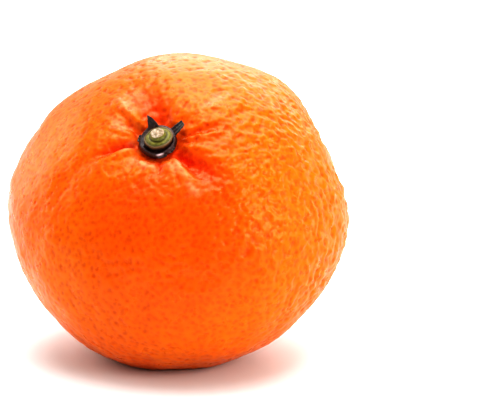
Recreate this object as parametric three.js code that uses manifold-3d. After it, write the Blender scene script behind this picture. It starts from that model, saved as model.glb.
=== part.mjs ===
// A whole tangerine as picked, with its calyx and the clipped stem still on it. Millimetres, +Z up.
//
// It rests on the side of its base: the stem axis leans from +Z towards -Y, and the skin is pressed flat
// where the fruit lies on the table. The origin is on the table under the middle of the part's box.
//
//   fruit      rind and flesh, one solid: an oblate body with a stem hollow, furrows and a blossom scar
//   calyx      the dark dried cup of sepals that sits in the stem hollow
//   stem_stub  the green swollen end of the stem, clipped off flat, on top of the calyx
//
// In the fruit's own frame the stem axis is +Z, and an azimuth is the angle about it from +X towards +Y.
import * as THREE from "three";
import { mergeVertices } from "three/addons/utils/BufferGeometryUtils.js";
import Module from "manifold-3d";

const wasm = await Module();
wasm.setup();

const DEG = Math.PI / 180;

// ---- driving dimensions -------------------------------------------------------------------------------
const EQUATOR_RADIUS = 33.5; // half the diameter across the fruit
const STEM_SHOULDER = 26.6; // centre to the plane of the stem end's shoulder
const BLOSSOM_SHOULDER = 26.4; // centre to the plane of the blossom end's shoulder
const FULLNESS = 2.0; // 2 is an ellipse; more fills the shoulders out
const LEAN = 41.5; // degrees from +Z to the stem axis
const RESTING_FLAT_DEPTH = 1.5; // how far the skin is pressed in where the fruit lies

const HOLLOW_DEPTH = 3.2; // stem hollow, below the shoulder
const HOLLOW_RADIUS = 8.2; // where the hollow has lost 63% of its depth
const SEAT_MARGIN = 0.35; // level floor of the hollow that shows around the calyx
const SEAT_BLEND = 2.2; // width over which the floor turns into the wall

const BLOSSOM_DEPTH = 1.3; // dimple at the blossom end
const BLOSSOM_RADIUS = 7.5;
const SCAR_RADIUS = 1.4; // ring-shaped scar of the style
const SCAR_HEIGHT = 0.35;

const STUB_BASE_RADIUS = 2.9;
const STUB_CUT_RADIUS = 1.25; // where the stem was clipped
const STUB_HEIGHT = 1.9;

const CALYX_RIM = 0.3; // width of the cup's top that shows around the stub
const CALYX_FLARE = 0.55; // how much wider the cup is at its foot
const CALYX_HEIGHT = 1.3;
const SEPAL_THICKNESS = 0.55;

const SEAT_GAP = 0.3; // between neighbouring solids
const CORNER = 0.35; // bevel of the cup's foot
const SEPAL_ROOT = 0.9; // how far a sepal reaches inside the cup's top edge

// What follows from them: the cup fits the stub, and the floor of the hollow fits the cup.
const CALYX_TOP_RADIUS = STUB_BASE_RADIUS + CALYX_RIM;
const CALYX_BASE_RADIUS = CALYX_TOP_RADIUS + CALYX_FLARE;
const SEAT_RADIUS = CALYX_BASE_RADIUS + SEAT_MARGIN;
const SEAT_HEIGHT = STEM_SHOULDER - HOLLOW_DEPTH;

// How a furrow or ridge runs: it sets in between two distances from the stem axis, fades out over the last
// part of its reach, and widens from a share of its full width.
const FURROW_SET_IN = [2.5, 6];
const FURROW_FADE_FROM = 0.35;
const FURROW_ROOT_WIDTH = 0.55;

// Mesh fineness. RING_CROWDING above 1 brings that share of the rings closer together at the stem end.
const FRUIT_SEGMENTS = 72;
const FRUIT_RINGS = 52;
const RING_CROWDING = 1.9;
const RING_CROWDED_SHARE = 0.45;
const SMALL_SEGMENTS = 32;

// Cutting blocks only have to be larger than what they cut.
const TABLE_SIZE = 10 * EQUATOR_RADIUS;
const CLEARANCE_HEIGHT = 10 * STUB_HEIGHT;

// Furrows that run out from the stem hollow, and the ridges between them, which have a negative depth:
// azimuth in degrees, how far each reaches from the stem axis, its half width, its depth, and how far its
// azimuth turns on the way out.
const FURROWS = [
  { azimuth: 189, reach: 19, halfWidth: 1.5, depth: 1.0, turn: 16 },
  { azimuth: 326, reach: 20, halfWidth: 2.6, depth: 1.6, turn: 6 },
  { azimuth: 92, reach: 19, halfWidth: 3.6, depth: 1.2, turn: 30 },
  { azimuth: 283, reach: 10, halfWidth: 1.1, depth: 0.5, turn: -4 },
  { azimuth: 14, reach: 17, halfWidth: 1.7, depth: 0.6, turn: 8 },
  { azimuth: 156, reach: 13, halfWidth: 1.3, depth: 0.5, turn: -4 },
  { azimuth: 254, reach: 14, halfWidth: 2.2, depth: -0.5, turn: 0 },
  { azimuth: 306, reach: 17, halfWidth: 1.5, depth: -0.6, turn: 8 },
  { azimuth: 204, reach: 18, halfWidth: 1.2, depth: -0.4, turn: 14 },
  { azimuth: 134, reach: 18, halfWidth: 1.8, depth: -0.4, turn: 4 },
];

// Broad swells and hollows of the body: polar angle from the stem axis, azimuth, height in millimetres, and
// spread in degrees.
const SWELLS = [
  { polar: 84, azimuth: 27, rise: -1.4, spread: 19 },
  { polar: 97, azimuth: 1, rise: 0.9, spread: 15 },
  { polar: 74, azimuth: 56, rise: 0.9, spread: 14 },
  { polar: 78, azimuth: 180, rise: 1.0, spread: 17 },
  { polar: 97, azimuth: -138, rise: -0.8, spread: 24 },
  { polar: 108, azimuth: -84, rise: -0.4, spread: 24 },
  { polar: 66, azimuth: 150, rise: 0.5, spread: 12 },
  { polar: 63, azimuth: 124, rise: -0.4, spread: 12 },
  { polar: 64, azimuth: 97, rise: 0.6, spread: 18 },
];

// The sepals: azimuth, length and width in millimetres, the tip's share of the width, and the lift in
// degrees.
const SEPALS = [
  { azimuth: 111, length: 2.3, width: 2.6, tip: 0.1, lift: 42 },
  { azimuth: 31, length: 2.5, width: 1.5, tip: 0.85, lift: 25 },
  { azimuth: -32, length: 0.2, width: 2.0, tip: 0.7, lift: 4 },
  { azimuth: -88, length: 0.35, width: 2.4, tip: 0.7, lift: 0 },
  { azimuth: 172, length: 0.2, width: 2.0, tip: 0.7, lift: 4 },
];

// ---- shared helpers -----------------------------------------------------------------------------------
const smooth = (from, to, x) => {
  const t = THREE.MathUtils.clamp((x - from) / (to - from), 0, 1);
  return t * t * (3 - 2 * t);
};
const bell = (x, width) => Math.exp(-((x / width) ** 2));

// A closed geometry as a manifold-3d solid.
function toSolid(geometry) {
  const bare = geometry.index ? geometry.toNonIndexed() : geometry.clone();
  bare.deleteAttribute("normal");
  bare.deleteAttribute("uv");
  const merged = mergeVertices(bare, 1e-4);
  return new wasm.Manifold(
    new wasm.Mesh({
      numProp: 3,
      vertProperties: new Float32Array(merged.attributes.position.array),
      triVerts: new Uint32Array(merged.index.array),
    }),
  );
}

// A manifold-3d solid as a geometry with flat-shaded normals.
function toGeometry(solid) {
  const mesh = solid.getMesh();
  const geometry = new THREE.BufferGeometry();
  geometry.setAttribute("position", new THREE.BufferAttribute(mesh.vertProperties, 3));
  geometry.setIndex(new THREE.BufferAttribute(mesh.triVerts, 1));
  geometry.computeVertexNormals();
  return geometry;
}

// A solid of revolution about +Z through [radius, height] points.
function turned(points, segments) {
  const profile = points.map(([radius, height]) => new THREE.Vector2(radius, height));
  return new THREE.LatheGeometry(profile, segments).rotateX(Math.PI / 2);
}

// ---- fruit --------------------------------------------------------------------------------------------
// Distance from the centre to the plain oblate body, at a polar angle from the stem axis.
function oblateRadius(polar) {
  const across = Math.sin(polar) / EQUATOR_RADIUS;
  const shoulder = polar < Math.PI / 2 ? STEM_SHOULDER : BLOSSOM_SHOULDER;
  const along = Math.abs(Math.cos(polar)) / shoulder;
  return (across ** FULLNESS + along ** FULLNESS) ** (-1 / FULLNESS);
}

// How deep the furrows cut at a place `out` from the stem axis, at an azimuth.
function furrowDepth(out, azimuth) {
  let depth = 0;
  for (const furrow of FURROWS) {
    const middle = (furrow.azimuth + furrow.turn * (out / furrow.reach)) * DEG;
    const turn = Math.atan2(Math.sin(azimuth - middle), Math.cos(azimuth - middle));
    if (Math.abs(turn) > Math.PI / 2) continue;
    const aside = out * Math.sin(turn);
    const share = out / furrow.reach;
    const width = furrow.halfWidth * THREE.MathUtils.lerp(FURROW_ROOT_WIDTH, 1, share);
    const fade = smooth(...FURROW_SET_IN, out) * (1 - smooth(FURROW_FADE_FROM, 1, share));
    depth += furrow.depth * bell(aside, width) * fade;
  }
  return depth;
}

// The body's broad unevenness, in millimetres outwards.
function swell(direction) {
  let height = 0;
  for (const { polar, azimuth, rise, spread } of SWELLS) {
    const middle = new THREE.Vector3(
      Math.sin(polar * DEG) * Math.cos(azimuth * DEG),
      Math.sin(polar * DEG) * Math.sin(azimuth * DEG),
      Math.cos(polar * DEG),
    );
    height += rise * bell(direction.angleTo(middle) / DEG, spread);
  }
  return height;
}

// The point of the fruit's skin in a direction from its centre.
function skinPoint(direction) {
  const polar = Math.acos(THREE.MathUtils.clamp(direction.z, -1, 1));
  const azimuth = Math.atan2(direction.y, direction.x);
  const plain = oblateRadius(polar);
  const out = plain * Math.sin(polar);
  let distance = plain + swell(direction);
  if (direction.z > 0) {
    distance -= HOLLOW_DEPTH * bell(out, HOLLOW_RADIUS) + furrowDepth(out, azimuth);
  } else {
    const ring = bell(out - SCAR_RADIUS, SCAR_RADIUS / 2);
    distance -= BLOSSOM_DEPTH * bell(out, BLOSSOM_RADIUS) - SCAR_HEIGHT * ring;
  }
  const point = direction.clone().multiplyScalar(distance);
  if (direction.z > 0) {
    const level = 1 - smooth(SEAT_RADIUS, SEAT_RADIUS + SEAT_BLEND, out);
    point.z = THREE.MathUtils.lerp(point.z, SEAT_HEIGHT, level);
  }
  return point;
}

// A sphere of rings around the stem axis, closest at the stem end where the furrows are, moved out to the
// skin.
function fruitGeometry() {
  // The profile runs from the blossom end up to the stem end, which makes the faces point outwards.
  const profile = Array.from({ length: FRUIT_RINGS + 1 }, (_, i) => {
    const share = 1 - i / FRUIT_RINGS;
    const polar = Math.PI * THREE.MathUtils.lerp(share, share ** RING_CROWDING, RING_CROWDED_SHARE);
    const atPole = i === 0 || i === FRUIT_RINGS;
    return [atPole ? 0 : Math.sin(polar), Math.cos(polar)];
  });
  const geometry = turned(profile, FRUIT_SEGMENTS);
  const position = geometry.attributes.position;
  const direction = new THREE.Vector3();
  for (let i = 0; i < position.count; i++) {
    direction.fromBufferAttribute(position, i).normalize();
    const point = skinPoint(direction);
    position.setXYZ(i, point.x, point.y, point.z);
  }
  return geometry;
}

const lean = new THREE.Matrix4().makeRotationX(LEAN * DEG);

// The leaning fruit, pressed flat underneath, and the height of its centre above the table.
function restingFruit() {
  const leaning = fruitGeometry().applyMatrix4(lean);
  leaning.computeBoundingBox();
  const centreHeight = -leaning.boundingBox.min.z - RESTING_FLAT_DEPTH;
  leaning.translate(0, 0, centreHeight);
  const table = new THREE.BoxGeometry(TABLE_SIZE, TABLE_SIZE, TABLE_SIZE).translate(0, 0, -TABLE_SIZE / 2);
  const pressed = toSolid(leaning).subtract(toSolid(table));
  return { geometry: toGeometry(pressed), centreHeight };
}

// ---- calyx and stem -----------------------------------------------------------------------------------
// One sepal lying along +X from the cup's wall, tapering to its tip.
function sepalSolid({ azimuth, length, width, tip, lift }) {
  const root = CALYX_TOP_RADIUS - SEPAL_ROOT;
  const end = CALYX_BASE_RADIUS - root + length;
  const half = width / 2;
  const outline = new THREE.Shape();
  outline.moveTo(0, -half);
  outline.quadraticCurveTo(end * 0.6, -half, end, -half * tip);
  outline.lineTo(end, half * tip);
  outline.quadraticCurveTo(end * 0.6, half, 0, half);
  const blade = new THREE.ExtrudeGeometry(outline, {
    depth: SEPAL_THICKNESS,
    bevelEnabled: false,
    curveSegments: 8,
  });
  blade.rotateY(-lift * DEG);
  blade.translate(root, 0, CALYX_HEIGHT / 3);
  blade.rotateZ(azimuth * DEG);
  return toSolid(blade);
}

function calyxGeometry() {
  const edge = CALYX_BASE_RADIUS;
  const cup = turned(
    [
      [0, 0],
      [edge - CORNER, 0],
      [edge, CORNER],
      [CALYX_TOP_RADIUS, CALYX_HEIGHT],
      [0, CALYX_HEIGHT],
    ],
    SMALL_SEGMENTS,
  );
  let solid = toSolid(cup);
  for (const sepal of SEPALS) {
    // The stub's place stays clear of the sepals' roots.
    solid = solid.add(sepalSolid(sepal).subtract(stubClearance()));
  }
  return toGeometry(solid);
}

// The space over the cup that the stub needs.
function stubClearance() {
  const wide = STUB_BASE_RADIUS + SEAT_GAP;
  const block = new THREE.CylinderGeometry(wide, wide, CLEARANCE_HEIGHT, SMALL_SEGMENTS);
  block.rotateX(Math.PI / 2);
  block.translate(0, 0, CALYX_HEIGHT + CLEARANCE_HEIGHT / 2);
  return toSolid(block);
}

// A low cone with growth rings, clipped off flat. Each ring is a share of the height and of the taper.
const STUB_RINGS = [
  [0.14, 0],
  [0.28, 0.12],
  [0.36, 0.34],
  [0.46, 0.36],
  [0.56, 0.66],
  [0.66, 0.7],
  [0.76, 0.96],
  [0.94, 1],
];
const STUB_BEVEL = 0.1; // share of each end's radius

function stubGeometry() {
  const rings = STUB_RINGS.map(([height, taper]) => [
    THREE.MathUtils.lerp(STUB_BASE_RADIUS, STUB_CUT_RADIUS, taper),
    STUB_HEIGHT * height,
  ]);
  const foot = [STUB_BASE_RADIUS * (1 - STUB_BEVEL), 0];
  const cut = [STUB_CUT_RADIUS * (1 - STUB_BEVEL), STUB_HEIGHT];
  return turned([[0, 0], foot, ...rings, cut, [0, STUB_HEIGHT]], SMALL_SEGMENTS);
}

// ---- assembly -----------------------------------------------------------------------------------------
const material = (color, roughness) =>
  new THREE.MeshStandardMaterial({ color, roughness, metalness: 0 });

function mesh(name, geometry, surface) {
  const made = new THREE.Mesh(geometry, surface);
  made.name = name;
  return made;
}

const fruit = restingFruit();

const stemEnd = new THREE.Group();
stemEnd.position.set(0, 0, fruit.centreHeight);
stemEnd.rotation.x = LEAN * DEG;

const calyx = mesh("calyx", calyxGeometry(), material(0x2e2330, 0.55));
calyx.position.z = SEAT_HEIGHT + SEAT_GAP;

const stub = mesh("stem_stub", stubGeometry(), material(0x7a6e2a, 0.6));
stub.position.z = calyx.position.z + CALYX_HEIGHT + SEAT_GAP;

stemEnd.add(calyx, stub);

const tangerine = new THREE.Group();
tangerine.add(mesh("fruit", fruit.geometry, material(0xff6a08, 0.38)), stemEnd);

// Put the origin on the table under the middle of the box.
const middle = new THREE.Box3().setFromObject(tangerine, true).getCenter(new THREE.Vector3());
tangerine.position.set(-middle.x, -middle.y, 0);

export default tangerine;
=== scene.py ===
"""A whole tangerine with its calyx and clipped stem, lying on its side on a white table.

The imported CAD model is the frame. Three CAD nodes are each replaced by finely shaped pieces: the rind, the
calyx with its sepals, and the stem's end. All shaping is done in millimetres in the fruit's own frame, where
the stem axis is +Z and an azimuth is the angle about it from +X towards +Y, and is then laid down as the CAD
model lies.
"""
import math

import bpy
import numpy as np
from mathutils import Matrix, Vector, kdtree, noise


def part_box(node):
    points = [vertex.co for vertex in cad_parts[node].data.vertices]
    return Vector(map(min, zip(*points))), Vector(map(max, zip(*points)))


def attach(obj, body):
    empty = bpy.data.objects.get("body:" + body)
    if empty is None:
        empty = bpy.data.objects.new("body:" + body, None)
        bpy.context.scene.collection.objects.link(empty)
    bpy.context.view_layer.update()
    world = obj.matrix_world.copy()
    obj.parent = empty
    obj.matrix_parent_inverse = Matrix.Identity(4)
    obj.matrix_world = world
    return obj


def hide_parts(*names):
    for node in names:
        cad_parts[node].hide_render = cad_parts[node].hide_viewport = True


MM = 0.001

# ---- the fruit's shape: the same dimensions as the CAD model, in millimetres and degrees -------------------
EQUATOR_RADIUS = 33.5
STEM_SHOULDER = 26.6
BLOSSOM_SHOULDER = 26.4
LEAN = 41.5
RESTING_FLAT_DEPTH = 1.5
HOLLOW_DEPTH = 3.2
HOLLOW_RADIUS = 8.2
SEAT_RADIUS = 4.1
SEAT_BLEND = 2.2
SEAT_HEIGHT = STEM_SHOULDER - HOLLOW_DEPTH
BLOSSOM_DEPTH = 1.3
BLOSSOM_RADIUS = 7.5
SCAR_RADIUS = 1.4
SCAR_HEIGHT = 0.35
CALYX_LIFT = 0.3  # above the floor of the hollow
CALYX_BASE_RADIUS = 3.75
CALYX_HEIGHT = 1.3
SEPAL_ROOT_RADIUS = 2.3
STEM_LIFT = 0.08  # above the cup's top
STEM_ASIDE = (0.33, 0.08)  # the stem's end sits a little to one side of the cup's middle
STEM_SLOPE = 0.28  # how steeply the stem's end rises towards one side
STEM_SLOPE_AZIMUTH = math.radians(-77)

# The outlines of the cup and the stem's end: radius and height, from the base's middle to the top's middle.
CUP_PROFILE = (
    (0, 0),
    (2.4, 0),
    (3.3, 0.02),
    (3.62, 0.18),
    (3.72, 0.5),
    (3.6, 0.95),
    (3.42, 1.3),
    (3.2, 1.42),
    (2.95, 1.3),
    (2.5, 1.22),
    (1.2, 1.22),
    (0, 1.22),
)
STEM_PROFILE = (
    (0, 0),
    (2.0, 0),
    (2.72, 0.02),
    (2.86, 0.2),
    (2.84, 0.42),
    (2.68, 0.6),
    (2.46, 0.64),
    (2.34, 0.76),
    (2.2, 0.92),
    (2.0, 0.98),
    (1.82, 0.96),
    (1.64, 0.98),
    (1.46, 1.16),
    (1.28, 1.45),
    (1.18, 1.7),
    (1.26, 1.9),
    (1.3, 2.02),
    (1.2, 2.14),
    (0.95, 2.16),
    (0.7, 2.06),
    (0.35, 2.08),
    (0, 2.06),
)
CUP_SEGMENTS = 96
STEM_SEGMENTS = 128
STEM_CUT_HEIGHT = 1.78  # the pale cut wood is above this
FUSE_VOXEL = 0.085  # the voxel size of the one mesh that the cup and its sepals become

# The sepals: azimuth, length, width, the tip's share of the width, lift in degrees, and the tip's lean aside.
BLUNT_SEPAL_AZIMUTH = 36
WORN_AND_GLINT_AZIMUTH = -72  # where the cup's rim is worn pale and painted bright as a glint
SEPALS = (
    (111, 2.3, 2.7, 0.08, 47, 0.65),
    (BLUNT_SEPAL_AZIMUTH, 2.6, 2.3, 0.62, 29, 0.0),
    (-32, 0.3, 2.2, 0.7, 6, 0.0),
    (-70, 0.2, 2.6, 0.7, 4, 0.3),
    (172, 0.3, 2.2, 0.7, 6, 0.0),
)

# Furrows from the stem hollow: azimuth, reach, half width, depth, turn. A negative depth makes a ridge.
FURROWS = (
    (189, 19, 1.5, 1.0, 16),
    (326, 20, 2.6, 1.6, 6),
    (92, 19, 3.6, 1.2, 30),
    (283, 10, 1.1, 0.5, -4),
    (14, 17, 1.7, 0.6, 8),
    (156, 13, 1.3, 0.5, -4),
    (254, 14, 2.2, -0.5, 0),
    (306, 17, 1.5, -0.6, 8),
    (204, 18, 1.2, -0.4, 14),
    (134, 18, 1.8, -0.4, 4),
)

# Broad swells and hollows of the body: polar angle from the stem axis, azimuth, rise, spread.
SWELLS = (
    (84, 27, -1.4, 19),
    (97, 1, 0.9, 15),
    (74, 56, 0.9, 14),
    (78, 180, 1.0, 17),
    (97, -138, -0.8, 24),
    (108, -84, -0.4, 24),
    (66, 150, 0.5, 12),
    (63, 124, -0.4, 12),
    (64, 97, 0.6, 18),
)

# Finer creases and lips that only the rind has, in the same form.
CREASES = (
    (187, 15, 0.75, 0.75, 17),
    (199, 15, 0.8, -0.35, 12),
    (171, 14, 0.8, -0.3, -6),
    (150, 15, 0.7, 0.35, -8),
    (138, 16, 0.9, -0.45, 2),
    (124, 16, 0.8, 0.35, 0),
    (330, 15, 1.1, 0.7, -8),
    (312, 15, 0.9, -0.5, 2),
    (296, 13, 0.8, -0.35, 2),
    (283, 12, 0.6, 0.45, 0),
    (268, 13, 0.8, -0.4, -2),
    (246, 13, 0.7, -0.4, -2),
    (256, 11, 0.5, 0.3, 0),
    (232, 12, 0.6, 0.3, -4),
    (350, 17, 0.7, -0.35, 2),
    (1, 17, 0.6, 0.3, 2),
    (10, 18, 0.7, -0.35, 4),
    (28, 15, 0.7, -0.3, 2),
    (45, 14, 0.8, 0.35, 4),
    (60, 14, 0.8, -0.3, 4),
    (80, 13, 0.8, 0.3, 4),
)

# The rind's zones, as the polar angle and azimuth of each one's middle.
CRUMPLED_SIDE = (70, 8)
PITTED_SIDE = (75, 190)
UPPER_SIDE = (50, 85)
# The side painted a lighter, yellower orange as light, where the lights fall.
PAINTED_LIGHT_SIDE = (62, 20)
# The dim side below the calyx is painted a redder orange as shade.
PAINTED_SHADE_SIDE = (44, -72)
CALM_PATCH = (56, -35)
RIPPLED_PATCH = (24, 119)

# Patches of painted shade, a redder orange: polar angle, azimuth, spread in degrees, strength.
PAINTED_SHADE_PATCHES = (
    (23, 119, 8, 0.3),
    (26, 8, 9, 0.45),
    (30, -38, 8, 0.3),
    (24, -98, 7, 0.35),
)

# Folds that are paler than the rest, partly the stretched rind's own colour and partly a painted sheen:
# azimuth and distance from the stem axis, and spreads across and along.
PALE_AND_SHEEN_FOLDS = (
    (134, 12.5, 1.2, 3.0),
    (157, 9.5, 1.0, 2.6),
    (-163, 6.2, 1.6, 1.6),
    (-119, 6.0, 2.2, 1.1),
    (-91, 6.2, 1.9, 1.2),
    (-52, 7.0, 1.2, 1.8),
    (-48, 9.2, 1.0, 1.8),
    (-50, 13.5, 1.2, 1.8),
    (48, 14.0, 1.1, 3.0),
)

# Single large pores in the calm patch of skin: polar angle, azimuth, width, depth.
LARGE_PORES = (
    (55, -28, 0.75, 0.26),
    (58, -19, 0.6, 0.2),
    (57, -39, 0.75, 0.26),
    (59, -44, 0.8, 0.28),
    (51, -43, 0.75, 0.24),
    (54, -34, 0.6, 0.16),
    (59, -33, 0.6, 0.18),
    (68, -27, 0.6, 0.18),
)

RIND_GRID = 128  # quads along each side of the rind's six faces
SEED = 7
PORES = 7000
PORE_WIDTHS = (0.30, 0.54)
BOWL_WIDTH = 0.8  # the shallow bowl around each pore
WIDE_PORES = 1300
WIDE_PORE_WIDTH = 0.48
PLEAT_DEPTH = 0.24
CRUMPLE_DEPTH = 0.26
LUMPS = ((7.0, 0.35, 1), (3.4, 0.16, 2))  # size, height, and the noise's own number


# ---- small maths -------------------------------------------------------------------------------------------
def smooth(low, high, x):
    """From 0 at low to 1 at high, level at both ends."""
    t = np.clip((x - low) / (high - low), 0, 1)
    return t * t * (3 - 2 * t)


def bell(x, width):
    """1 at x = 0, falling to 1/e where x is the width."""
    return np.exp(-((x / width) ** 2))


def direction_at(polar, azimuth):
    """The unit vector at a polar angle from the stem axis and an azimuth, in degrees."""
    p, a = math.radians(polar), math.radians(azimuth)
    return np.array([math.sin(p) * math.cos(a), math.sin(p) * math.sin(a), math.cos(p)])


def angle_from(directions, polar, azimuth):
    """How many degrees each direction is from the one at a polar angle and an azimuth."""
    return np.degrees(np.arccos(np.clip(directions @ direction_at(polar, azimuth), -1, 1)))


def nearness(directions, place, low, high):
    """From 0 to 1: how near each direction is to a place, between two cosines of the angle to it."""
    return smooth(low, high, directions @ direction_at(*place))


def noise_at(points, scale, seed):
    """Smooth noise from about -1 to 1 at each point, with features about `scale` across."""
    shift = Vector((seed * 17.3, seed * -9.1, seed * 5.7))
    return np.array([noise.noise(Vector(p) / scale + shift) for p in points])


# ---- the fruit's body --------------------------------------------------------------------------------------
def furrow_depth(out, azimuth, furrows=FURROWS):
    """How deep the furrows are at a distance out from the stem axis and an azimuth in radians."""
    depth = np.zeros_like(out)
    for angle, reach, half_width, full_depth, turn in furrows:
        share = out / reach
        middle = np.radians(angle + turn * share)
        aside_angle = np.arctan2(np.sin(azimuth - middle), np.cos(azimuth - middle))
        width = half_width * (0.55 + 0.45 * share)
        fade = smooth(2.5, 6, out) * (1 - smooth(0.35, 1, share))
        near = np.abs(aside_angle) < math.pi / 2
        depth += near * full_depth * bell(out * np.sin(aside_angle), width) * fade
    return depth


def skin_points(directions):
    """The body's smooth skin in each direction from its centre, and how far out from the stem axis it is."""
    polar = np.arccos(np.clip(directions[:, 2], -1, 1))
    azimuth = np.arctan2(directions[:, 1], directions[:, 0])
    stem_side = directions[:, 2] > 0
    shoulder = np.where(stem_side, STEM_SHOULDER, BLOSSOM_SHOULDER)
    plain = 1 / np.hypot(np.sin(polar) / EQUATOR_RADIUS, np.cos(polar) / shoulder)
    out = plain * np.sin(polar)
    distance = plain.copy()
    for swell_polar, swell_azimuth, rise, spread in SWELLS:
        distance += rise * bell(angle_from(directions, swell_polar, swell_azimuth), spread)
    hollow = HOLLOW_DEPTH * bell(out, HOLLOW_RADIUS) + furrow_depth(out, azimuth)
    scar = SCAR_HEIGHT * bell(out - SCAR_RADIUS, SCAR_RADIUS / 2)
    blossom = BLOSSOM_DEPTH * bell(out, BLOSSOM_RADIUS) - scar
    distance -= np.where(stem_side, hollow, blossom)
    points = directions * distance[:, None]
    level = np.where(stem_side, 1 - smooth(SEAT_RADIUS, SEAT_RADIUS + SEAT_BLEND, out), 0)
    points[:, 2] += level * (SEAT_HEIGHT - points[:, 2])
    return points, out


def cube_sphere(n):
    """A sphere of six n by n grids: unit directions, quads, and a UV corner for each quad's corners."""
    steps = np.arange(n)
    u, v = (g.ravel() for g in np.meshgrid(steps, steps, indexing="ij"))
    corners, uvs = [], []
    for face in range(6):
        axis, far = face // 2, face % 2
        around = [(0, 0), (1, 0), (1, 1), (0, 1)]
        if not far:
            around.reverse()
        for du, dv in around:
            place = np.zeros((n * n, 3), int)
            place[:, axis] = n * far
            place[:, (axis + 1) % 3] = u + du
            place[:, (axis + 2) % 3] = v + dv
            corners.append(place)
            inside = np.stack([u + du, v + dv], -1) / n * 0.98 + 0.01
            uvs.append((inside + [face % 3, face // 3]) / [3, 2])
    lattice, index = np.unique(np.concatenate(corners), axis=0, return_inverse=True)
    quads = index.reshape(6, 4, n * n).transpose(0, 2, 1).reshape(-1, 4)
    uv = np.array(uvs).reshape(6, 4, n * n, 2).transpose(0, 2, 1, 3).reshape(-1, 2)
    directions = np.tan(math.pi / 4 * (2 * lattice / n - 1))
    return directions / np.linalg.norm(directions, axis=1, keepdims=True), quads, uv


# ---- laying things down as the CAD model lies --------------------------------------------------------------
LEAN_TURN = np.array(Matrix.Rotation(math.radians(LEAN), 3, "X"))


def lie_down(points, offset):
    """Points of the fruit's frame, in millimetres, laid down in the row frame, in metres."""
    return (points @ LEAN_TURN.T + offset) * MM


def resting_offset(skin):
    """Where the fruit's centre is in the row frame, in mm, so that the skin fills its CAD node's box."""
    low, high = (np.array(corner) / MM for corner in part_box("fruit"))
    leaning = skin @ LEAN_TURN.T
    middle = (low + high - leaning.min(axis=0) - leaning.max(axis=0)) / 2
    return np.array([middle[0], middle[1], -leaning[:, 2].min() - RESTING_FLAT_DEPTH])


# ---- making pieces -----------------------------------------------------------------------------------------
def make_piece(name, points, faces, material, node):
    """A piece of the visual model that rides on the one body and stands for a CAD node."""
    mesh = bpy.data.meshes.new(name)
    mesh.from_pydata([tuple(p) for p in points], [], [tuple(int(i) for i in f) for f in faces])
    mesh.update()
    mesh.shade_smooth()
    mesh.materials.append(material)
    piece = bpy.data.objects.new(name, mesh)
    bpy.context.scene.collection.objects.link(piece)
    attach(piece, "root")
    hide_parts(node)
    return piece


def set_attribute(mesh, name, values):
    layer = mesh.attributes.new(name, "FLOAT", "POINT")
    layer.data.foreach_set("value", np.ascontiguousarray(values, dtype=np.float32))


# ---- materials ---------------------------------------------------------------------------------------------
RIND_ORANGE = (0.785, 0.142, 0.001)
RIND_LIGHT_ORANGE = (0.80, 0.168, 0.001)
RIND_PAINTED_LIGHT = (0.80, 0.178, 0.001)
RIND_PAINTED_SHADE = (0.79, 0.055, 0.001)
RIND_PALE_AND_SHEEN = (0.87, 0.34, 0.17)
PORE_SHADE = (0.58, 0.045, 0.001)
SPECK_SHADE = (0.58, 0.050, 0.001)
RIND_SHEEN = (1.0, 0.81, 0.48, 1)
CUP_DARK = (0.018, 0.008, 0.007)
CUP_BROWN = (0.085, 0.040, 0.036)
SEPAL_DARK = (0.022, 0.012, 0.022)
SEPAL_GREY = (0.120, 0.115, 0.088)
CUP_WORN_AND_GLINT = (0.88, 0.74, 0.76)
STEM_OLIVE = (0.13, 0.115, 0.012)
STEM_GREEN = (0.27, 0.25, 0.045)
STEM_GROOVE_SHADE = (0.055, 0.042, 0.004)
STEM_RIM = (0.19, 0.115, 0.050)
STEM_UNDER_SHADE = (0.020, 0.012, 0.010)
WOOD_BROWN = (0.30, 0.19, 0.10)
WOOD_PALE = (0.50, 0.41, 0.30)
TABLE_SHADE = (0.80, 0.87, 0.88)
TABLE_WHITE = (0.84, 0.91, 0.92)


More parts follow.
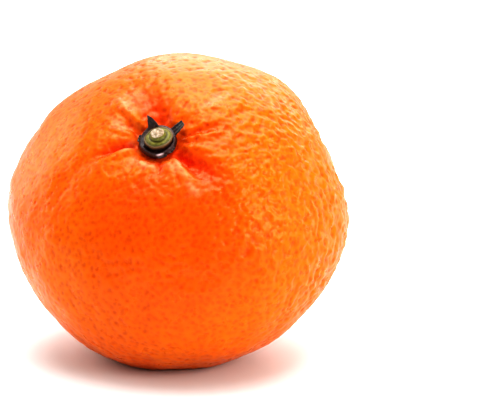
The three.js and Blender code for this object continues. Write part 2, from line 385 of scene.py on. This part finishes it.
class Nodes:
    """A material's node tree, with short calls for the nodes used here."""

    def __init__(self, name):
        self.material = bpy.data.materials.new(name)
        self.material.use_nodes = True
        self.tree = self.material.node_tree
        self.shader = self.tree.nodes["Principled BSDF"]

    def add(self, kind, **settings):
        node = self.tree.nodes.new(kind)
        for key, value in settings.items():
            setattr(node, key, value)
        return node

    def link(self, source, target):
        self.tree.links.new(source, target)

    def set(self, **values):
        for key, value in values.items():
            self.shader.inputs[key.replace("_", " ")].default_value = value

    def coordinates(self):
        return self.add("ShaderNodeTexCoord").outputs["Object"]

    def attribute(self, name):
        return self.add("ShaderNodeAttribute", attribute_name=name).outputs["Fac"]

    def noise(self, size, detail=4):
        node = self.add("ShaderNodeTexNoise")
        node.inputs["Scale"].default_value = 1 / (size * MM)
        node.inputs["Detail"].default_value = detail
        self.link(self.coordinates(), node.inputs["Vector"])
        return node.outputs["Fac"]

    def cells(self, size, randomness=1.0):
        """The distance to the middle of the nearest of many cells about `size` across, in cell sizes."""
        node = self.add("ShaderNodeTexVoronoi")
        node.inputs["Scale"].default_value = 1 / (size * MM)
        node.inputs["Randomness"].default_value = randomness
        self.link(self.coordinates(), node.inputs["Vector"])
        return node.outputs["Distance"]

    def product(self, first, second):
        node = self.add("ShaderNodeMath", operation="MULTIPLY")
        self.link(first, node.inputs[0])
        self.link(second, node.inputs[1])
        return node.outputs[0]

    def ramp(self, source, *stops):
        node = self.add("ShaderNodeValToRGB")
        ramp = node.color_ramp
        while len(ramp.elements) < len(stops):
            ramp.elements.new(0.5)
        for element, (place, colour) in zip(ramp.elements, stops):
            element.position = place
            element.color = (*colour, 1) if len(colour) == 3 else colour
        self.link(source, node.inputs["Fac"])
        return node.outputs["Color"]

    def remap(self, source, low, high, to_low, to_high):
        node = self.add("ShaderNodeMapRange")
        for key, value in zip(("From Min", "From Max", "To Min", "To Max"), (low, high, to_low, to_high)):
            node.inputs[key].default_value = value
        self.link(source, node.inputs["Value"])
        return node.outputs["Result"]

    def mix(self, factor, first, second):
        node = self.add("ShaderNodeMix", data_type="RGBA")
        for socket, value in zip((0, 6, 7), (factor, first, second)):
            if isinstance(value, bpy.types.NodeSocket):
                self.link(value, node.inputs[socket])
            elif socket:
                node.inputs[socket].default_value = (*value, 1)
            else:
                node.inputs[socket].default_value = value
        return node.outputs[2]

    def bump(self, height, depth, strength=1.0, under=None):
        node = self.add("ShaderNodeBump")
        node.inputs["Distance"].default_value = depth * MM
        node.inputs["Strength"].default_value = strength
        self.link(height, node.inputs["Height"])
        if under is not None:
            self.link(under, node.inputs["Normal"])
        return node.outputs["Normal"]


def rind_material():
    n = Nodes("rind")
    n.set(IOR=1.45, Specular_IOR_Level=0.5, Subsurface_Weight=0.12, Subsurface_Scale=0.002)
    n.shader.inputs["Specular Tint"].default_value = RIND_SHEEN
    n.shader.inputs["Subsurface Radius"].default_value = (1.0, 0.25, 0.05)
    colour = n.ramp(n.noise(16, detail=3), (0.35, RIND_ORANGE), (0.65, RIND_LIGHT_ORANGE))
    # Painted light: a lighter, yellower orange on the side where the lights fall.
    colour = n.mix(n.remap(n.attribute("painted_light"), 0, 1, 0, 0.7), colour, RIND_PAINTED_LIGHT)
    # Painted shade: the furrows, the creases, the hollow around the calyx, the dim side and the shade patches
    # are a redder, darker orange.
    colour = n.mix(n.remap(n.attribute("shade"), 0, 1, 0, 0.85), colour, RIND_PAINTED_SHADE)
    # The pale folds: partly the stretched rind's own paleness, partly a painted sheen on their lips.
    colour = n.mix(n.remap(n.attribute("pale"), 0, 1, 0, 0.75), colour, RIND_PALE_AND_SHEEN)
    # Painted shade in the pits of the pores, the wide pits and the large pores: a darker, redder orange.
    colour = n.mix(n.remap(n.attribute("pore"), 0, 1, 0, 0.6), colour, PORE_SHADE)
    # Painted shade in the pits of the pitted bump: dark specks at the middles of the small cells.
    specks = n.cells(1.15, 0.9)
    colour = n.mix(n.remap(specks, 0.15, 0.45, 0.4, 0), colour, SPECK_SHADE)
    n.link(colour, n.shader.inputs["Base Color"])
    n.link(n.remap(n.noise(3, detail=5), 0.3, 0.7, 0.25, 0.36), n.shader.inputs["Roughness"])
    grain = n.bump(n.noise(0.55, detail=3), 0.02, 0.6)
    pitted = n.bump(n.remap(specks, 0.10, 0.45, 0, 1), 0.05, 0.8, grain)
    crumpled = n.bump(n.product(n.noise(2.0, detail=1), n.attribute("rough")), 0.45, 1.0, pitted)
    n.link(crumpled, n.shader.inputs["Normal"])
    return n.material


def calyx_material():
    n = Nodes("calyx")
    n.set(Roughness=0.38)
    cup = n.ramp(n.noise(1.1, detail=6), (0.3, CUP_DARK), (0.7, CUP_BROWN))
    blade = n.ramp(n.noise(0.7, detail=6), (0.35, SEPAL_DARK), (0.65, SEPAL_GREY))
    colour = n.mix(n.attribute("blade"), cup, blade)
    # The worn rim is also painted bright as a glint.
    colour = n.mix(n.attribute("worn_and_glint"), colour, CUP_WORN_AND_GLINT)
    n.link(colour, n.shader.inputs["Base Color"])
    n.link(n.bump(n.noise(0.35, detail=6), 0.08, 0.8), n.shader.inputs["Normal"])
    return n.material


def stem_material():
    n = Nodes("stem")
    n.set(Roughness=0.5)
    colour = n.ramp(n.noise(0.8, detail=6), (0.3, STEM_OLIVE), (0.7, STEM_GREEN))
    # Painted shade: the grooves between the stem's rings are darker.
    colour = n.mix(n.remap(n.attribute("groove_shade"), 0, 1, 0, 0.85), colour, STEM_GROOVE_SHADE)
    colour = n.mix(n.attribute("rim"), colour, STEM_RIM)
    # Painted shade: the underside of the stem's rim is near black.
    colour = n.mix(n.attribute("under"), colour, STEM_UNDER_SHADE)
    wood = n.ramp(n.noise(0.5, detail=5), (0.35, WOOD_BROWN), (0.58, WOOD_PALE))
    colour = n.mix(n.attribute("cut"), colour, wood)
    n.link(colour, n.shader.inputs["Base Color"])
    n.link(n.bump(n.noise(0.3, detail=6), 0.07), n.shader.inputs["Normal"])
    return n.material


def floor_material():
    n = Nodes("white_table")
    n.set(Roughness=0.65)
    colour = n.ramp(n.noise(300, detail=2), (0.3, TABLE_SHADE), (0.7, TABLE_WHITE))
    n.link(colour, n.shader.inputs["Base Color"])
    return n.material


# ---- the rind ----------------------------------------------------------------------------------------------
def spread_directions(count, jitter, rng):
    """Nearly even directions all round, each moved a little at random."""
    i = np.arange(count) + 0.5
    z = 1 - 2 * i / count
    turn = math.pi * (1 + math.sqrt(5)) * i
    side = np.sqrt(1 - z * z)
    even = np.stack([side * np.cos(turn), side * np.sin(turn), z], -1)
    moved = even + rng.normal(0, jitter * math.sqrt(4 * math.pi / count), even.shape)
    return moved / np.linalg.norm(moved, axis=1, keepdims=True)


def nearest(centres, points):
    """The index of the centre nearest to each point, and how far off it is."""
    tree = kdtree.KDTree(len(centres))
    for i, centre in enumerate(centres):
        tree.insert(centre, i)
    tree.balance()
    found = [tree.find(p) for p in points]
    return np.array([f[1] for f in found]), np.array([f[2] for f in found])


def pore_fields(points, rng):
    """How far each point is inside an oil gland's pit, and inside the bowl around it, both from 0 to 1."""
    centres = skin_points(spread_directions(PORES, 0.22, rng))[0]
    index, distance = nearest(centres, points)
    widths = rng.uniform(*PORE_WIDTHS, PORES)
    depths = rng.uniform(0.5, 1.0, PORES)
    return depths[index] * bell(distance, widths[index]), depths[index] * bell(distance, BOWL_WIDTH)


def large_pores(skin):
    """How far each point is inside a large pore, and how deep that makes the skin there."""
    inside, depths = np.zeros(len(skin)), np.zeros(len(skin))
    for polar, azimuth, width, depth in LARGE_PORES:
        centre = skin_points(direction_at(polar, azimuth)[None])[0]
        hole = bell(np.linalg.norm(skin - centre, axis=1), width)
        inside += hole
        depths += depth * hole
    return inside, depths


def pale_and_sheen_folds(out, azimuth):
    """How far each point is inside a pale fold, its paleness partly the rind's own and partly a painted
    sheen, at its distance from the stem axis and azimuth in radians.
    """
    pale = np.zeros(len(out))
    for at, middle, across, along in PALE_AND_SHEEN_FOLDS:
        aside = out * np.sin(azimuth - math.radians(at))
        ahead = out * np.cos(azimuth - math.radians(at)) - middle
        pale += bell(aside, across) * bell(ahead, along)
    return np.clip(pale, 0, 1)


def painted_shade(directions, out, azimuth, creases):
    """How far each point is painted a redder, darker orange as shade: in the furrows and creases, around the
    calyx, on the dim side below it and in the shade patches.
    """
    stem_side = directions[:, 2] > 0
    shade = stem_side * (0.75 * furrow_depth(out, azimuth) + 0.7 * creases + 0.6 * bell(out, 6.5))
    shade += 0.45 * nearness(directions, PAINTED_SHADE_SIDE, 0.72, 1.0)
    for polar, at, width, strength in PAINTED_SHADE_PATCHES:
        shade += strength * bell(angle_from(directions, polar, at), width)
    return np.clip(shade, 0, 1)


def build_rind(material):
    """Makes the rind, and gives where the fruit's centre is in the row frame, in millimetres."""
    rng = np.random.default_rng(SEED)
    directions, quads, uv = cube_sphere(RIND_GRID)
    skin, out = skin_points(directions)
    offset = resting_offset(skin)
    normals = surface_normals(skin, quads)
    azimuth = np.arctan2(directions[:, 1], directions[:, 0])
    stem_side = directions[:, 2] > 0

    rough = nearness(directions, CRUMPLED_SIDE, 0.45, 0.75)
    rough *= 1 - 0.75 * bell(angle_from(directions, *CALM_PATCH), 11)
    pitted = nearness(directions, PITTED_SIDE, 0.3, 0.8)
    upper = nearness(directions, UPPER_SIDE, 0.3, 0.8)
    near_stem = stem_side * smooth(3.5, 6.5, out) * (1 - smooth(7, 17, out))

    pit, bowl = pore_fields(skin, rng)
    wide_centres = skin_points(spread_directions(WIDE_PORES, 0.25, rng))[0]
    wide_pit = bell(nearest(wide_centres, skin)[1], WIDE_PORE_WIDTH)
    large, large_depths = large_pores(skin)

    lumps = sum(noise_at(skin, size, number) * lift for size, lift, number in LUMPS)
    crumple = 1 - 2 * np.abs(noise_at(skin, 2.6, 3))
    ripple = 1 - 2 * np.abs(noise_at(skin, 1.9, 6))
    fine = noise_at(skin, 1.25, 5)
    around_stem = np.stack([np.cos(azimuth) * 9, np.sin(azimuth) * 9, out * 0.22], -1)
    pleats = noise_at(around_stem, 1.6, 4) * PLEAT_DEPTH * near_stem
    creases = stem_side * furrow_depth(out, azimuth, CREASES) * smooth(4.2, 7.5, out)

    # The skin's relief, in millimetres: its broad form, the crumpled side, ripples and grain, then the pores.
    height = (1 - 0.4 * upper) * lumps + pleats - creases
    height += rough * (CRUMPLE_DEPTH * crumple + 0.10 * fine - 0.12 * bowl)
    height += (0.08 - 0.07 * upper - 0.04 * pitted) * ripple
    height += near_stem * (0.07 * ripple + 0.04 * fine)
    height += 0.16 * bell(angle_from(directions, *RIPPLED_PATCH), 9) * ripple
    height += (0.08 - 0.06 * upper) * fine
    height -= (0.16 - 0.10 * upper + 0.02 * rough - 0.07 * pitted) * pit
    height -= 0.20 * upper * wide_pit + large_depths

    points = lie_down(skin + normals * height[:, None], offset)
    points[:, 2] = np.maximum(points[:, 2], 0)
    piece = make_piece("rind", points, quads, material, "fruit")
    patches = smooth(-0.45, 0.35, noise_at(skin, 1.6, 16) + 0.4 * fine)
    # Painted shade in the pores' pits.
    set_attribute(piece.data, "pore", np.maximum(np.maximum(pit, 1.7 * upper * wide_pit), large))
    # Pale folds, partly painted sheen.
    set_attribute(piece.data, "pale", stem_side * pale_and_sheen_folds(out, azimuth) * patches)
    set_attribute(piece.data, "rough", np.clip(rough + 0.6 * near_stem, 0, 1))
    # The painted shade mask: furrows, creases, the calyx's hollow, the dim side and the shade patches.
    set_attribute(piece.data, "shade", painted_shade(directions, out, azimuth, creases))
    set_attribute(piece.data, "painted_light", nearness(directions, PAINTED_LIGHT_SIDE, -0.4, 0.9))
    layer = piece.data.uv_layers.new(name="OFBake")
    layer.data.foreach_set("uv", uv.ravel().astype(np.float32))
    return offset


def surface_normals(points, quads):
    """The outward unit normal at each point, from the quads around it."""
    a, b, c, d = (points[quads[:, k]] for k in range(4))
    face = np.cross(c - a, d - b)
    normals = np.zeros_like(points)
    for k in range(4):
        np.add.at(normals, quads[:, k], face)
    return normals / np.linalg.norm(normals, axis=1, keepdims=True)


# ---- calyx and stem ----------------------------------------------------------------------------------------
def revolve(profile, segments):
    """A closed surface of rings about +Z through (radius, height) points, the ends on the axis."""
    rings = profile[1:-1]
    angles = np.arange(segments) * 2 * math.pi / segments
    points = [(0, 0, profile[0][1])]
    for r, h in rings:
        points += [(r * math.cos(a), r * math.sin(a), h) for a in angles]
    points.append((0, 0, profile[-1][1]))
    points = np.array(points, float)
    faces = []
    for i in range(segments):
        j = (i + 1) % segments
        faces.append((0, 1 + j, 1 + i))
        for k in range(len(rings) - 1):
            low, high = 1 + k * segments, 1 + (k + 1) * segments
            faces.append((low + i, low + j, high + j, high + i))
        top = 1 + (len(rings) - 1) * segments
        faces.append((top + i, top + j, len(points) - 1))
    return points, faces


def sepal(azimuth, length, width, tip, lift, skew):
    """A blade standing out from the cup: grooved along its length, and thinner and narrower at its tip."""
    along, across = 26, 11  # points along and across each side of the blade
    end = CALYX_BASE_RADIUS - SEPAL_ROOT_RADIUS + length
    upper, lower = [], []
    for i in range(along):
        u = i / (along - 1)
        half = width / 2 * (1 - (1 - tip) * (0.45 * u + 0.55 * u * u))
        thick = 0.5 - 0.28 * u
        for k in range(across):
            v = 2 * k / (across - 1) - 1
            vein = 0.07 * math.cos(2.6 * math.pi * v) * (1 - 0.5 * u)
            curl = 0.16 * v * v * u
            aside = v * half + skew * u * u
            round_off = thick * 0.35 * v**4
            upper.append((end * u, aside, thick / 2 + vein + curl - round_off))
            lower.append((end * u, aside, -thick / 2 + curl + round_off))
    points = np.array(upper + lower)
    count = along * across
    faces = []
    for i in range(along - 1):
        for k in range(across - 1):
            p = i * across + k
            faces.append((p, p + across, p + across + 1, p + 1))
            faces.append((count + p, count + p + 1, count + p + across + 1, count + p + across))
        for p, outward in ((i * across, 1), (i * across + across - 1, -1)):
            side = (p, count + p, count + p + across, p + across)
            faces.append(side[::outward])
    for k in range(across - 1):
        for p, outward in ((k, -1), ((along - 1) * across + k, 1)):
            edge = (p, count + p, count + p + 1, p + 1)
            faces.append(edge[::outward])
    turn = Matrix.Rotation(math.radians(azimuth), 3, "Z")
    raised = np.array(turn @ Matrix.Rotation(math.radians(-lift), 3, "Y"))
    root = np.array(turn) @ [SEPAL_ROOT_RADIUS, 0, CALYX_HEIGHT / 3]
    return points @ raised.T + root, faces


def fuse(shells, voxel):
    """One smooth closed surface around all of the shells."""
    points, faces = [], []
    for shell_points, shell_faces in shells:
        faces += [[len(points) + i for i in face] for face in shell_faces]
        points += [tuple(p) for p in shell_points]
    mesh = bpy.data.meshes.new("shells")
    mesh.from_pydata(points, [], faces)
    shell = bpy.data.objects.new("shells", mesh)
    bpy.context.scene.collection.objects.link(shell)
    remesh = shell.modifiers.new("remesh", "REMESH")
    remesh.mode = "VOXEL"
    remesh.voxel_size = voxel
    relax = shell.modifiers.new("relax", "SMOOTH")
    relax.factor = 0.5
    relax.iterations = 2
    fused = shell.evaluated_get(bpy.context.evaluated_depsgraph_get()).to_mesh()
    fused_points = np.array([v.co for v in fused.vertices])
    fused_faces = [tuple(p.vertices) for p in fused.polygons]
    bpy.data.objects.remove(shell)
    bpy.data.meshes.remove(mesh)
    return fused_points, fused_faces


def finer(profile, steps):
    """The profile with each stretch cut into steps along a smooth curve through its points."""
    knots = np.array(profile, float)
    before = np.vstack([2 * knots[0] - knots[1], knots[:-1]])
    after = np.vstack([knots[1:], 2 * knots[-1] - knots[-2]])
    slope = (after - before) / 2
    result = []
    for i in range(len(knots) - 1):
        for t in np.arange(steps) / steps:
            start, end = knots[i], knots[i + 1]
            lean_out, lean_in = slope[i], slope[i + 1]
            point = (2 * t**3 - 3 * t**2 + 1) * start + (t**3 - 2 * t**2 + t) * lean_out
            point += (3 * t**2 - 2 * t**3) * end + (t**3 - t**2) * lean_in
            result.append((max(point[0], 0), point[1]))
    result[0] = profile[0]
    return result + [profile[-1]]


def build_calyx(material, offset):
    """The dried cup and its sepals, one closed surface with an uneven, lobed rim."""
    shells = [revolve(CUP_PROFILE, CUP_SEGMENTS)] + [sepal(*row) for row in SEPALS]
    points, faces = fuse(shells, FUSE_VOXEL)
    around = np.arctan2(points[:, 1], points[:, 0])
    out = np.hypot(points[:, 0], points[:, 1])
    rim = smooth(2.6, 3.3, out) * (out < 4.2)
    uneven = noise_at(np.stack([around, out * 0, out * 0], -1), 0.8, 8)
    lobes = 0.16 * np.cos(5 * around + 0.9) + 0.5 * uneven
    points[:, :2] *= (1 + rim * lobes * 0.06)[:, None]
    points[:, 2] *= 1 + rim * (0.16 * noise_at(points, 1.5, 9) + 0.06 * np.cos(3 * around))
    points += 0.05 * np.stack([noise_at(points, 0.55, k) for k in (10, 11, 12)], -1)
    height = points[:, 2].copy()  # above the cup's base
    points[:, 2] += SEAT_HEIGHT + CALYX_LIFT
    piece = make_piece("calyx_cup", lie_down(points, offset), faces, material, "calyx")
    # A pale worn sliver of the rim, painted bright white as a glint, and the pale tip of the blunt sepal.
    worn_and_glint = bell(np.cos(around - math.radians(WORN_AND_GLINT_AZIMUTH)) - 1, 0.02)
    worn_and_glint *= smooth(3.3, 3.5, out) * bell(height - 1.25, 0.3)
    tip = bell(around - math.radians(BLUNT_SEPAL_AZIMUTH), 0.3) * smooth(5.9, 6.2, out)
    set_attribute(piece.data, "worn_and_glint", np.clip(worn_and_glint + 0.6 * tip, 0, 1))
    set_attribute(piece.data, "blade", smooth(3.9, 4.6, out))


def build_stem(material, offset):
    """The ringed green end of the stem, sloping to one side, with its pale cut on top."""
    points, faces = revolve(finer(STEM_PROFILE, 3), STEM_SEGMENTS)
    out = np.hypot(points[:, 0], points[:, 1])
    around = np.arctan2(points[:, 1], points[:, 0])
    cut = smooth(STEM_CUT_HEIGHT - 0.06, STEM_CUT_HEIGHT + 0.06, points[:, 2])
    # The grooves between the rings, to be darkened as painted shade.
    groove_shade = bell(out - 1.66, 0.16) + bell(out - 2.52, 0.14)
    rim = smooth(2.5, 2.72, out)
    # The underside of the rim, to be darkened as painted shade.
    under = rim * (1 - smooth(0.3, 0.5, points[:, 2]))
    points[:, :2] *= (1 + 0.05 * noise_at(points, 1.6, 13) * smooth(0.3, 1.2, out))[:, None]
    points[:, 2] += (1 - cut) * 0.07 * noise_at(points, 0.9, 14) + cut * 0.16 * noise_at(points, 0.5, 15)
    notch = bell(out - 1.0, 0.35) * bell(np.cos(around - math.radians(-115)) - 1, 0.12)
    points[:, 2] -= cut * 0.3 * notch
    uphill = points[:, 1] * math.sin(STEM_SLOPE_AZIMUTH) + points[:, 0] * math.cos(STEM_SLOPE_AZIMUTH)
    raised = points[:, 2] + STEM_SLOPE * uphill * smooth(0, 0.6, points[:, 2])
    points[:, 2] = np.maximum(raised, 0.15 * points[:, 2])
    points[:, :2] += STEM_ASIDE
    points[:, 2] += SEAT_HEIGHT + CALYX_LIFT + CALYX_HEIGHT + STEM_LIFT
    piece = make_piece("stem_end", lie_down(points, offset), faces, material, "stem_stub")
    set_attribute(piece.data, "cut", cut)
    set_attribute(piece.data, "groove_shade", np.clip(groove_shade, 0, 1) * (1 - cut))
    set_attribute(piece.data, "rim", rim)
    set_attribute(piece.data, "under", under)


# ---- stage: floor, lights and camera -----------------------------------------------------------------------
CAMERA_AZIMUTH = 13.4  # 0 looks along +Y
CAMERA_ELEVATION = 15.0
CAMERA_DISTANCE = 0.45
FOCAL_LENGTH = 162.0  # on a 36 mm wide sensor
TARGET = Vector((0, 0, 0.030))  # the point the camera is turned about and the softboxes face
TARGET_LEFT = 0.0321  # how far the target lies left of the view's middle, as a tangent
TARGET_DOWN = 0.0006  # and how far below
FLOOR_HALF_SIDE = 6.0

# The softboxes: name, direction from the target, side in metres, level.
SOFTBOXES = (
    ("key_softbox", (0.02, 0.08, 1.0), 0.85, 0.78),
    ("back_softbox", (0.05, 0.90, 0.70), 0.9, 0.36),
    ("rim_softbox", (0.90, 0.60, 0.12), 0.5, 0.12),
    ("right_softbox", (0.90, -0.35, 0.40), 0.45, 0.34),
    ("left_softbox", (-0.90, 0.25, 0.35), 0.7, 0.22),
)


def build_camera():
    azimuth, elevation = math.radians(CAMERA_AZIMUTH), math.radians(CAMERA_ELEVATION)
    level = math.cos(elevation)
    away = Vector((math.sin(azimuth) * level, -math.cos(azimuth) * level, math.sin(elevation)))
    data = bpy.data.cameras.new("camera")
    data.lens = FOCAL_LENGTH
    data.sensor_width = 36.0
    data.clip_end = 20
    camera = bpy.data.objects.new("camera", data)
    camera.location = TARGET + away * CAMERA_DISTANCE
    # Turning the camera right by the angle whose tangent is TARGET_LEFT moves the fruit left in the view.
    camera.rotation_euler = (
        math.radians(90 - CAMERA_ELEVATION) + math.atan(TARGET_DOWN),
        0,
        azimuth - math.atan(TARGET_LEFT / level),
    )
    bpy.context.scene.collection.objects.link(camera)
    bpy.context.scene.camera = camera


def softbox(name, direction, size, level):
    """A square softbox 1 m from the target. It alone makes a white card there as bright as `level`."""
    away = Vector(direction).normalized()
    data = bpy.data.lights.new(name, "AREA")
    data.size = size
    data.energy = level * math.pi**2
    light = bpy.data.objects.new(name, data)
    light.location = TARGET + away
    light.rotation_euler = away.to_track_quat("Z", "Y").to_euler()
    bpy.context.scene.collection.objects.link(light)


def build_world():
    """A white studio: brightest behind the fruit, dim on the side that is looked from."""
    world = bpy.data.worlds.new("white_studio")
    world.use_nodes = True
    tree = world.node_tree
    place = tree.nodes.new("ShaderNodeTexCoord")
    along = tree.nodes.new("ShaderNodeVectorMath")
    along.operation = "DOT_PRODUCT"
    along.inputs[1].default_value = Vector((0.0, 1.0, 0.3)).normalized()
    level = tree.nodes.new("ShaderNodeMapRange")
    level.inputs["From Min"].default_value = -0.7
    level.inputs["From Max"].default_value = 0.9
    level.inputs["To Min"].default_value = 0.3
    level.inputs["To Max"].default_value = 0.7
    tree.links.new(place.outputs["Generated"], along.inputs[0])
    tree.links.new(along.outputs["Value"], level.inputs["Value"])
    tree.links.new(level.outputs["Result"], tree.nodes["Background"].inputs["Strength"])
    tree.nodes["Background"].inputs["Color"].default_value = (1, 1, 1, 1)
    bpy.context.scene.world = world


def build_stage():
    """The white table and the soft light around it."""
    mesh = bpy.data.meshes.new("floor")
    corners = [(x * FLOOR_HALF_SIDE, y * FLOOR_HALF_SIDE, 0) for x, y in ((-1, -1), (1, -1), (1, 1), (-1, 1))]
    mesh.from_pydata(corners, [], [(0, 1, 2, 3)])
    mesh.materials.append(floor_material())
    floor = bpy.data.objects.new("floor", mesh)
    bpy.context.scene.collection.objects.link(floor)

    build_world()
    for row in SOFTBOXES:
        softbox(*row)


# ---- the scene ---------------------------------------------------------------------------------------------
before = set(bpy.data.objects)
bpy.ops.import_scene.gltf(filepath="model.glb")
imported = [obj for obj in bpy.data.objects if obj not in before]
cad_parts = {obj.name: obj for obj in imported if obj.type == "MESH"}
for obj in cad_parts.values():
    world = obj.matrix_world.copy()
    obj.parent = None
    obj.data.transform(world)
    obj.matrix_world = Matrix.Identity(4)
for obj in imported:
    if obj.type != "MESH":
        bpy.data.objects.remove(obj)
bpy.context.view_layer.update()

bpy.context.scene.view_settings.view_transform = "Standard"
bpy.context.scene.view_settings.look = "Very High Contrast"
bpy.context.scene.view_settings.exposure = -0.06
offset = build_rind(rind_material())
build_calyx(calyx_material(), offset)
build_stem(stem_material(), offset)
build_camera()
build_stage()
